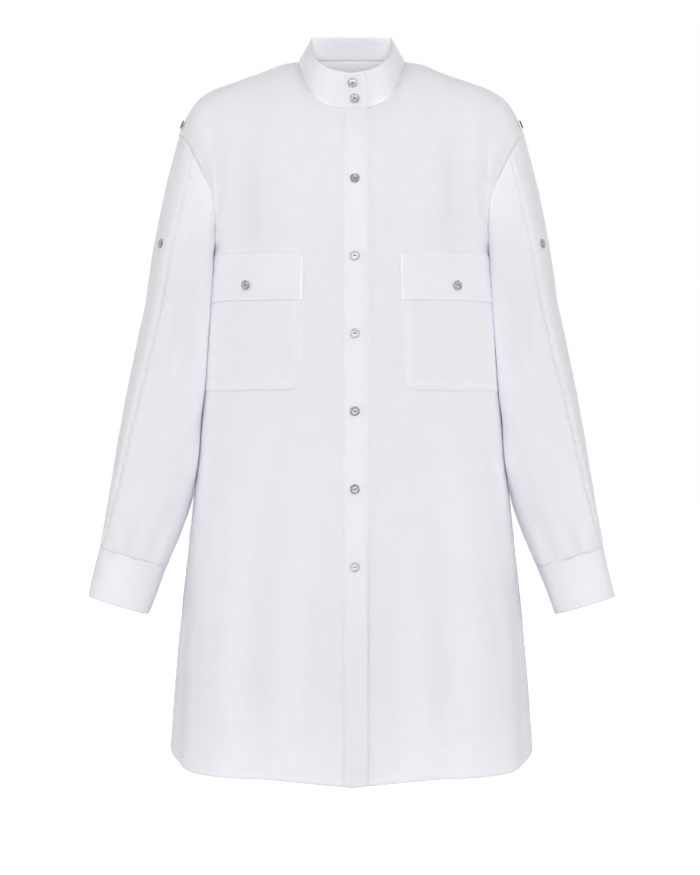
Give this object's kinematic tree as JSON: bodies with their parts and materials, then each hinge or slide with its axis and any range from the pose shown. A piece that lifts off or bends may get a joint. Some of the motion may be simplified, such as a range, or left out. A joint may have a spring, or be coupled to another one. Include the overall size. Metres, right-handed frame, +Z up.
{
  "type": "linen shirt",
  "caption": "Long loose linen shirt with a band collar, flap chest pockets, long cuffed sleeves and a buttoned front, hollow as if worn.",
  "frame": {"origin": "midway between the two neck points, where the collar meets the shoulder seams and the wearer's shoulders hold the shirt", "axes": "+Z up along the shirt's length, -Y is the front, +X is the wearer's left"},
  "size_m": [0.6304, 0.3105, 0.8916],
  "materials": {
    "linen": "matt white plain weave",
    "button": "polished grey shell"
  },
  "bodies": {
    "root": {"front_right": "linen", "front_left": "linen", "back": "linen", "collar": "linen", "placket": "linen", "pocket_right": "linen", "pocket_left": "linen", "pocket_flap_right": "linen", "pocket_flap_left": "linen", "sleeve_front_right": "linen", "sleeve_front_left": "linen", "sleeve_back_right": "linen", "sleeve_back_left": "linen", "cuff_right": "linen", "cuff_left": "linen", "button_placket_1": "button", "button_placket_2": "button", "button_placket_3": "button", "button_placket_4": "button", "button_placket_5": "button", "button_placket_6": "button", "button_collar_upper": "button", "button_collar_lower": "button", "button_flap_right": "button", "button_flap_left": "button", "button_sleeve_right": "button", "button_sleeve_left": "button", "button_shoulder_right": "button", "button_shoulder_left": "button", "button_cuff_right": "button", "button_cuff_left": "button"}
  },
  "joints": []
}
